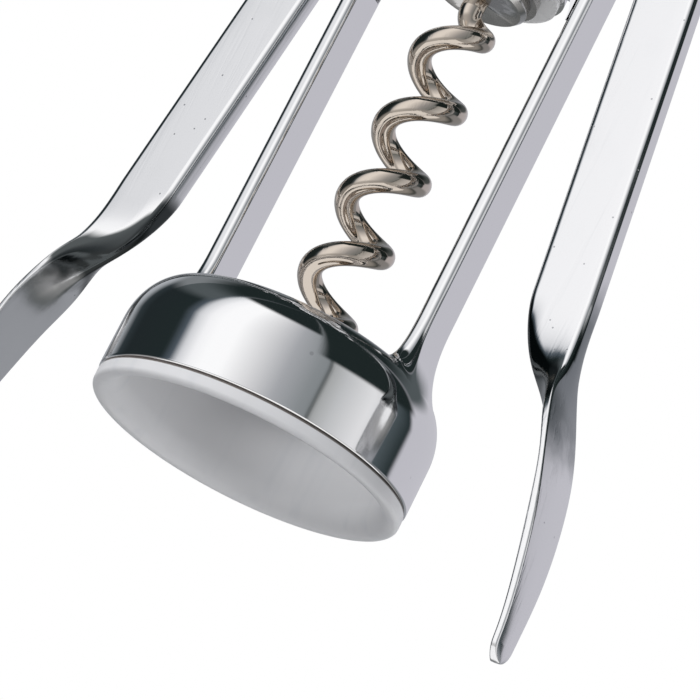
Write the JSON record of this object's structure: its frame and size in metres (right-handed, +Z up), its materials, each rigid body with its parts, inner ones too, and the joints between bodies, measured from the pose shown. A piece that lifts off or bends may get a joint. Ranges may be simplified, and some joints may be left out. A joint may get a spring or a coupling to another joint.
{
  "type": "wing corkscrew",
  "caption": "Wing corkscrew with a lined bell, two arms, two geared wing levers, an open wire worm on a ringed rack shaft, and a loop handle.",
  "frame": {"origin": "centre of the bell's mouth in the plane of the liner's lip", "axes": "+Z up the worm's axis to the handle, +X towards the right wing, -Y to the front"},
  "size_m": [0.0792, 0.0372, 0.1995],
  "materials": {
    "frame_chrome": "polished chrome over a zinc casting",
    "lever_chrome": "polished chrome, faintly brushed",
    "handle_chrome": "polished chrome",
    "liner_plastic": "satin white",
    "bush_plastic": "natural nylon",
    "shaft_steel": "turned steel, nickel plated",
    "worm_nickel": "warm nickel-plated drawn wire",
    "pin_steel": "bright steel",
    "ring_steel": "spring steel"
  },
  "bodies": {
    "frame": {"frame": "frame_chrome", "bell_liner": "liner_plastic", "right_pivot_pin": "pin_steel", "left_pivot_pin": "pin_steel", "shaft_bearing": "bush_plastic", "guide_ring": "ring_steel"},
    "guide": {"guide_bush": "bush_plastic"},
    "shaft": {"rack_shaft": "shaft_steel", "worm": "worm_nickel", "worm_pin": "pin_steel", "stop_ring": "ring_steel", "handle": "handle_chrome", "handle_washer": "bush_plastic", "handle_pin": "pin_steel"},
    "right_wing": {"right_lever": "lever_chrome"},
    "left_wing": {"left_lever": "lever_chrome"}
  },
  "joints": [
    {"name": "shaft_turn", "type": "hinge", "parent": "frame", "child": "guide", "pos_m": [0, 0, 0.104], "axis": [0, 0, 1], "continuous": true},
    {"name": "shaft_slide", "type": "slide", "parent": "guide", "child": "shaft", "axis": [0, 0, 1], "range_m": [-0.0314, 0]},
    {"name": "right_wing_pivot", "type": "hinge", "parent": "frame", "child": "right_wing", "pos_m": [0.0166, 0, 0.086], "axis": [0, 1, 0], "range_deg": [-150, 0]},
    {"name": "left_wing_pivot", "type": "hinge", "parent": "frame", "child": "left_wing", "pos_m": [-0.0166, 0, 0.086], "axis": [0, 1, 0], "range_deg": [0, 150]}
  ],
  "couplings": [
    {"joint": "right_wing_pivot", "follows": "shaft_slide", "rad_per_m": 83.333},
    {"joint": "left_wing_pivot", "follows": "shaft_slide", "rad_per_m": -83.333}
  ]
}
